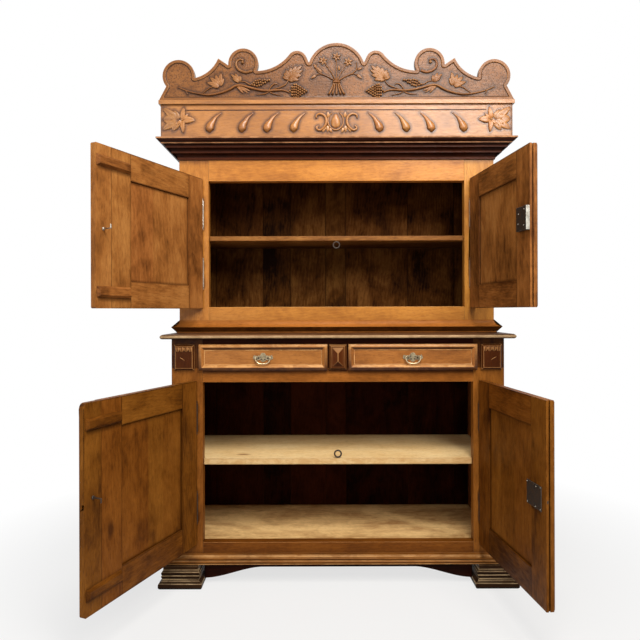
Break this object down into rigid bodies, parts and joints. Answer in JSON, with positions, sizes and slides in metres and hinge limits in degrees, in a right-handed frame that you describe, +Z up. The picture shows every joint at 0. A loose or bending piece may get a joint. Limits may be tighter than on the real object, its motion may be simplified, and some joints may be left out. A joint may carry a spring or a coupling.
{
  "type": "buffet cabinet",
  "caption": "Two-stage oak buffet cabinet with carved cresting, cornice, open panelled doors on barrel hinges, shelves, drawers with bail pulls and moulded block feet",
  "frame": {"origin": "on the floor, under the middle of the bounding box with the doors as they stand open", "axes": "+Z up, the front faces -Y, +X to the viewer's right"},
  "size_m": [1.6478, 1.0932, 2.3188],
  "materials": {
    "carved_oak": "waxed, carved",
    "honey_oak": "waxed",
    "side_oak": "waxed",
    "dark_oak": "waxed, dark stained",
    "door_oak": "worn inner faces",
    "pine": "bare, aged",
    "dark_iron": "dark, worn",
    "bright_steel": "worn bright",
    "pale_brass": "pale, rubbed"
  },
  "bodies": {
    "carcase": {"crest_board": "carved_oak", "frieze_board": "carved_oak", "upper_front_posts": "honey_oak", "lower_front_posts": "honey_oak", "bottom_rail": "honey_oak", "under_drawer_rail": "honey_oak", "drawer_top_rail": "honey_oak", "upper_bottom_rail": "honey_oak", "upper_top_rail": "honey_oak", "drawer_divider": "honey_oak", "rear_posts": "side_oak", "side_rails": "side_oak", "side_panels": "side_oak", "feet": "dark_oak", "base_moulding": "dark_oak", "upper_base_moulding": "dark_oak", "cornice": "dark_oak", "apron": "dark_oak", "buffet_top": "dark_oak", "drawer_band_blocks": "dark_oak", "lower_floor": "pine", "upper_floor": "pine", "upper_ceiling": "pine", "lower_shelf": "pine", "upper_shelf": "pine", "shelf_cleats": "pine", "lower_back_boards": "pine", "upper_back_boards": "pine", "drawer_runners": "pine", "crest_braces": "pine", "hinge_post_leaves": "dark_iron", "shelf_hook_eyes": "dark_iron"},
    "upper_left_door": {"upper_left_door_frame": "door_oak", "upper_left_door_panel": "door_oak", "upper_left_door_hinges": "bright_steel", "upper_left_false_stile": "door_oak"},
    "upper_right_door": {"upper_right_door_frame": "door_oak", "upper_right_door_panel": "door_oak", "upper_right_door_hinges": "bright_steel", "upper_lock_case": "bright_steel"},
    "lower_left_door": {"lower_left_door_frame": "door_oak", "lower_left_door_panel": "door_oak", "lower_left_door_hinges": "dark_iron", "lower_left_false_stile": "door_oak"},
    "lower_right_door": {"lower_right_door_frame": "door_oak", "lower_right_door_panel": "door_oak", "lower_right_door_hinges": "dark_iron", "lower_lock_case": "dark_iron"},
    "upper_hook": {"upper_door_hook": "bright_steel"},
    "upper_bolt": {"upper_lock_bolt": "bright_steel"},
    "lower_hook": {"lower_door_hook": "dark_iron"},
    "lower_bolt": {"lower_lock_bolt": "dark_iron"},
    "left_drawer": {"left_drawer_front": "dark_oak", "left_drawer_box": "pine", "left_handle_plate": "pale_brass"},
    "left_bail": {"left_handle_bail": "pale_brass"},
    "right_drawer": {"right_drawer_front": "dark_oak", "right_drawer_box": "pine", "right_handle_plate": "pale_brass"},
    "right_bail": {"right_handle_bail": "pale_brass"}
  },
  "joints": [
    {"name": "upper_left_door_hinge", "type": "hinge", "parent": "carcase", "child": "upper_left_door", "pos_m": [-0.55264, 0.18108, 1.45075], "axis": [0, 0, -1], "range_deg": [-114, 2]},
    {"name": "upper_right_door_hinge", "type": "hinge", "parent": "carcase", "child": "upper_right_door", "pos_m": [0.63636, 0.18108, 1.45075], "axis": [0, 0, 1], "range_deg": [-97, 19]},
    {"name": "lower_left_door_hinge", "type": "hinge", "parent": "carcase", "child": "lower_left_door", "pos_m": [-0.55264, 0.04108, 0.516], "axis": [0, 0, -1], "range_deg": [-112, 4]},
    {"name": "lower_right_door_hinge", "type": "hinge", "parent": "carcase", "child": "lower_right_door", "pos_m": [0.63636, 0.04108, 0.516], "axis": [0, 0, 1], "range_deg": [-97, 19]},
    {"name": "upper_hook_turn", "type": "hinge", "parent": "upper_left_door", "child": "upper_hook", "pos_m": [-0.79034, -0.36385, 1.4428], "axis": [0.9135, -0.4067, 0], "range_deg": [0, 90]},
    {"name": "upper_bolt_slide", "type": "slide", "parent": "upper_right_door", "child": "upper_bolt", "axis": [0.1219, -0.9925, 0], "range_m": [0, 0.008]},
    {"name": "lower_hook_turn", "type": "hinge", "parent": "lower_left_door", "child": "lower_hook", "pos_m": [-0.77117, -0.51181, 0.5502], "axis": [0.9272, -0.3746, 0], "range_deg": [0, 90]},
    {"name": "lower_bolt_slide", "type": "slide", "parent": "lower_right_door", "child": "lower_bolt", "axis": [0.1219, -0.9925, 0], "range_m": [0, 0.008]},
    {"name": "left_drawer_slide", "type": "slide", "parent": "carcase", "child": "left_drawer", "axis": [0, -1, 0], "range_m": [0, 0.3]},
    {"name": "left_bail_swing", "type": "hinge", "parent": "left_drawer", "child": "left_bail", "pos_m": [-0.27164, 0.02158, 0.9605], "axis": [-1, 0, 0], "range_deg": [0, 85]},
    {"name": "right_drawer_slide", "type": "slide", "parent": "carcase", "child": "right_drawer", "axis": [0, -1, 0], "range_m": [0, 0.3]},
    {"name": "right_bail_swing", "type": "hinge", "parent": "right_drawer", "child": "right_bail", "pos_m": [0.35536, 0.02158, 0.9605], "axis": [-1, 0, 0], "range_deg": [0, 85]}
  ]
}
